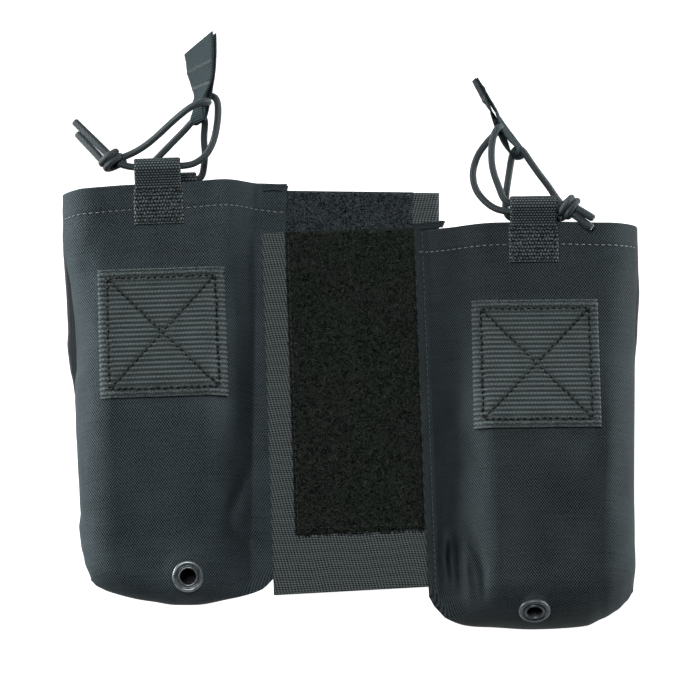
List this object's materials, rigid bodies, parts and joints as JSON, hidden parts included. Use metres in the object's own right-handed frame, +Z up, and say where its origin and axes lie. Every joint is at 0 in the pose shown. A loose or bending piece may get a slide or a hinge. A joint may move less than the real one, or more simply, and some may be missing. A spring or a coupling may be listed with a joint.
{
  "type": "open-top gear pouches with overlapping wings",
  "caption": "Open-top nylon gear pouches joined by overlapping hook-and-loop wings, with shock-cord and pull-tab retention at each mouth and a metal eyelet at each bottom.",
  "frame": {"origin": "middle of the underside's bounding box, on the surface that the pouches lie on, measured without the cords and what is on them", "axes": "+X from the left pouch to the right one, +Y from the bottoms to the mouths, +Z up, out of the fronts"},
  "size_m": [0.229, 0.241, 0.0287],
  "materials": {
    "nylon": "coated plain-weave nylon, matt",
    "webbing": "ribbed nylon webbing, dull sheen",
    "loop_pile": "brushed loop pile",
    "hook_tape": "moulded hook tape",
    "elastic": "ribbed elastic ground",
    "cord": "braided cover over a rubber core",
    "tape": "finely ribbed tape",
    "eyelet_metal": "blackened, worn bright at the rim"
  },
  "bodies": {
    "left_pouch": {"left_front_shell": "nylon", "left_back_panel": "nylon", "left_webbing_patch": "webbing", "left_front_keeper": "webbing", "left_rear_keeper": "webbing", "left_eyelet": "eyelet_metal", "left_eyelet_washer": "eyelet_metal", "left_front_cord": "cord", "left_rear_cord": "cord", "left_cord_knot": "cord", "left_wing_base": "elastic", "left_wing_loop": "loop_pile"},
    "left_tab": {"left_pull_tab": "tape"},
    "right_pouch": {"right_front_shell": "nylon", "right_back_panel": "nylon", "right_webbing_patch": "webbing", "right_front_keeper": "webbing", "right_rear_keeper": "webbing", "right_eyelet": "eyelet_metal", "right_eyelet_washer": "eyelet_metal", "right_front_cord": "cord", "right_rear_cord": "cord", "right_cord_knot": "cord"},
    "right_tab": {"right_pull_tab": "tape"},
    "right_wing": {"right_wing_base": "elastic", "right_wing_loop": "loop_pile", "right_wing_hook": "hook_tape"}
  },
  "joints": [
    {"name": "wing_overlap", "type": "slide", "parent": "left_pouch", "child": "right_pouch", "axis": [1, 0, 0], "range_m": [0, 0.03]},
    {"name": "right_wing_peel", "type": "hinge", "parent": "right_pouch", "child": "right_wing", "pos_m": [0.02519, 0.06662, 0.0056], "axis": [-0.0356, 0.9994, 0], "range_deg": [0, 110]},
    {"name": "left_tab_swing", "type": "hinge", "parent": "left_pouch", "child": "left_tab", "pos_m": [-0.07721, 0.08962, 0.0144], "axis": [0.9994, 0.0349, 0], "range_deg": [0, 110], "deforming": ["left_front_cord", "left_rear_cord"]},
    {"name": "right_tab_swing", "type": "hinge", "parent": "right_pouch", "child": "right_tab", "pos_m": [0.07277, 0.07408, 0.01548], "axis": [0.9996, 0.014, -0.0258], "range_deg": [0, 110], "deforming": ["right_front_cord", "right_rear_cord"]}
  ]
}
